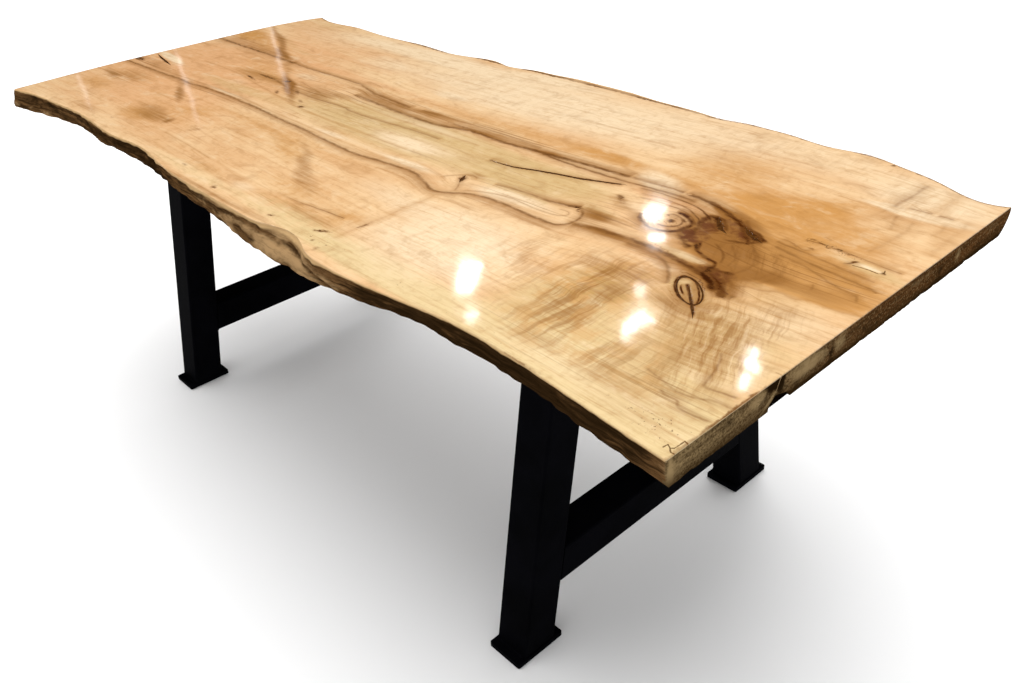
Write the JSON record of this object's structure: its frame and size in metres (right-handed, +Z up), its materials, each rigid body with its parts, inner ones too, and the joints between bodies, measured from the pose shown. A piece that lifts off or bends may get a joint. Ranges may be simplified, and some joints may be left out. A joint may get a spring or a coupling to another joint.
{
  "type": "live edge table",
  "caption": "Dining table with a thick natural-edge wood slab on two black steel trapezoid frames with crossbars and foot plates.",
  "frame": {"origin": "on the floor, under the middle of the slab's outline", "axes": "+X along the slab from its bowed left end to its sawn right end, +Y across it from the near edge to the far edge, +Z up"},
  "size_m": [2.1794, 0.9785, 0.762],
  "materials": {
    "slab_wood": "clear gloss coat over figured, spalted light hardwood",
    "old_bark": "dark, decayed bark, matt",
    "dark_resin": "dark brown resin, polished flush",
    "black_steel": "satin black powder coat on steel",
    "zinc_fastener": "zinc plated",
    "insert_brass": "plain brass",
    "pad_rubber": "matt black rubber"
  },
  "bodies": {
    "root": {"slab_top": "slab_wood", "crack_fill": "dark_resin", "end_void_fill": "dark_resin", "knot_ring_fill": "dark_resin", "bark_pocket_fills": "dark_resin", "small_knot_fill": "dark_resin", "bark_inclusion": "old_bark", "left_crossbar": "black_steel", "left_top_plate": "black_steel", "left_leg_near": "black_steel", "left_leg_far": "black_steel", "left_foot_plate_near": "black_steel", "left_foot_plate_far": "black_steel", "left_foot_pad_near": "pad_rubber", "left_foot_pad_far": "pad_rubber", "left_welds": "black_steel", "left_bolts": "zinc_fastener", "left_washers": "zinc_fastener", "left_inserts": "insert_brass", "right_crossbar": "black_steel", "right_top_plate": "black_steel", "right_leg_near": "black_steel", "right_leg_far": "black_steel", "right_foot_plate_near": "black_steel", "right_foot_plate_far": "black_steel", "right_foot_pad_near": "pad_rubber", "right_foot_pad_far": "pad_rubber", "right_welds": "black_steel", "right_bolts": "zinc_fastener", "right_washers": "zinc_fastener", "right_inserts": "insert_brass"}
  },
  "joints": []
}
